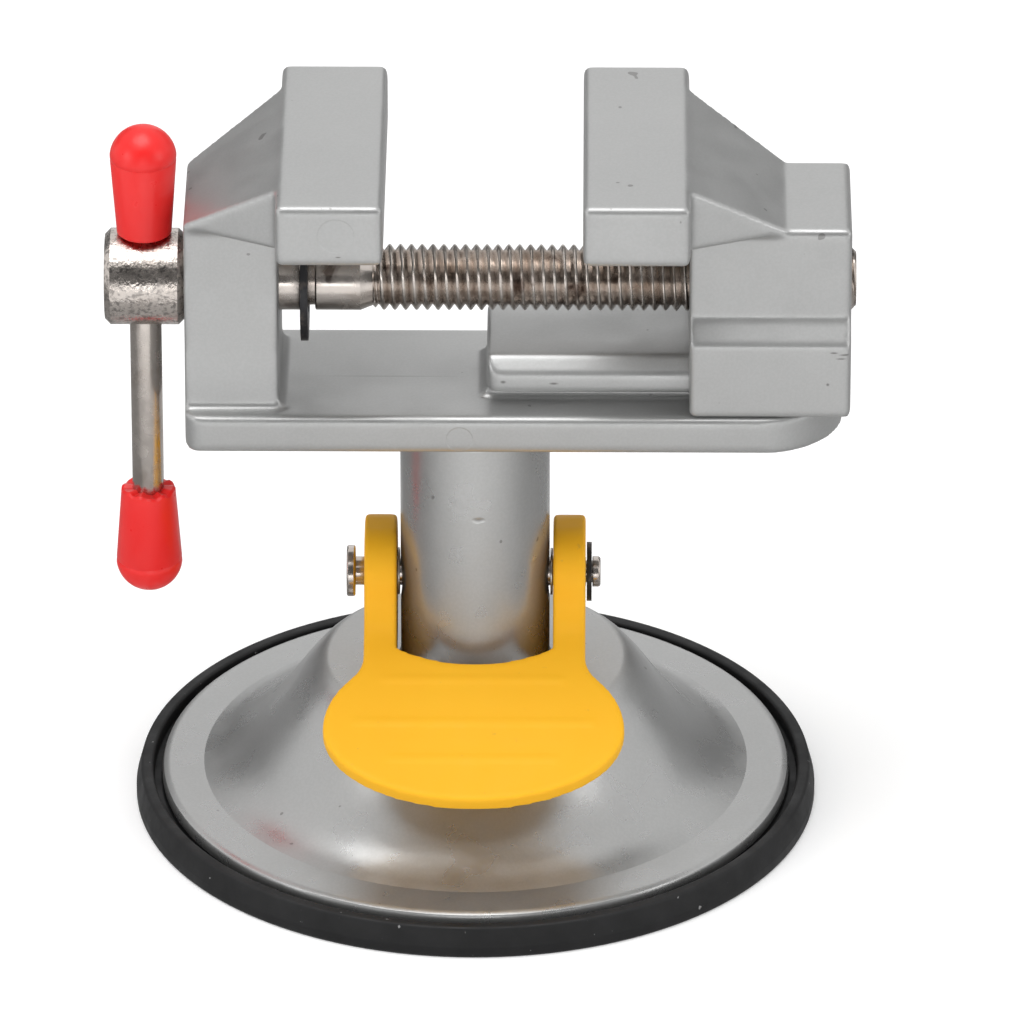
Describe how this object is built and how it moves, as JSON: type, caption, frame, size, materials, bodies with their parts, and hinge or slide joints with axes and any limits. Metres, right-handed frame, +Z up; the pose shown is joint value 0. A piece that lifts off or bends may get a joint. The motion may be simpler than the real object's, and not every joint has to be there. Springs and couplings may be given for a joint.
{
  "type": "suction base vise",
  "caption": "Small bench vise with a sliding jaw, lead screw and T-handle, swivelling on a column over a lever-operated suction base.",
  "frame": {"origin": "centre of the suction base, on the surface it holds on to", "axes": "+Z up along the column's axis, +X along the lead screw from the T-handle towards the moving jaw, -Y the front, where the suction lever is"},
  "size_m": [0.104, 0.096, 0.1042],
  "materials": {
    "silver_paint": "satin silver hammer-free paint on a zinc die casting",
    "pad_rubber": "matt black moulded rubber",
    "zinc_steel": "bright zinc-plated steel",
    "nickel_plate": "nickel-plated steel, lightly soiled",
    "black_steel": "blackened spring steel",
    "yellow_plastic": "satin moulded plastic",
    "red_plastic": "soft glossy moulded plastic"
  },
  "bodies": {
    "base": {"base_cover": "silver_paint", "suction_pad": "pad_rubber", "pad_skin": "pad_rubber", "return_spring": "zinc_steel", "set_screw": "black_steel"},
    "rod": {"pull_rod": "zinc_steel", "pad_centre": "pad_rubber", "pad_insert": "zinc_steel", "spring_seat": "zinc_steel", "lever_pin": "nickel_plate", "pin_clip": "black_steel", "pin_washer_left": "zinc_steel", "pin_washer_right": "zinc_steel"},
    "lever": {"lever": "yellow_plastic"},
    "head": {"vise_body": "silver_paint", "swivel_washer": "black_steel"},
    "jaw": {"moving_jaw": "silver_paint"},
    "screw": {"lead_screw": "nickel_plate", "screw_head": "nickel_plate", "screw_clip": "black_steel"},
    "handle": {"handle_bar": "nickel_plate", "handle_cap_upper": "red_plastic", "handle_cap_lower": "red_plastic"}
  },
  "joints": [
    {"name": "head_swivel", "type": "hinge", "parent": "base", "child": "head", "pos_m": [0, 0, 0.0607], "axis": [0, 0, 1], "continuous": true},
    {"name": "jaw_slide", "type": "slide", "parent": "head", "child": "jaw", "axis": [1, 0, 0], "range_m": [-0.027, 0.0027]},
    {"name": "screw_turn", "type": "hinge", "parent": "head", "child": "screw", "pos_m": [0, 0, 0.0812], "axis": [1, 0, 0], "range_deg": [-660, 6490]},
    {"name": "handle_slide", "type": "slide", "parent": "screw", "child": "handle", "axis": [0, 0, 1], "range_m": [0, 0.0259]},
    {"name": "lever_lift", "type": "hinge", "parent": "rod", "child": "lever", "pos_m": [0, 0, 0.0349], "axis": [-1, 0, 0], "range_deg": [0, 55]},
    {"name": "rod_slide", "type": "slide", "parent": "base", "child": "rod", "axis": [0, 0, 1], "range_m": [-0.0022, 0], "deforming": ["return_spring", "pad_skin"]}
  ],
  "couplings": [
    {"joint": "screw_turn", "follows": "jaw_slide", "rad_per_m": -4188.8},
    {"joint": "lever_lift", "follows": "rod_slide", "rad_per_m": -436.33}
  ]
}
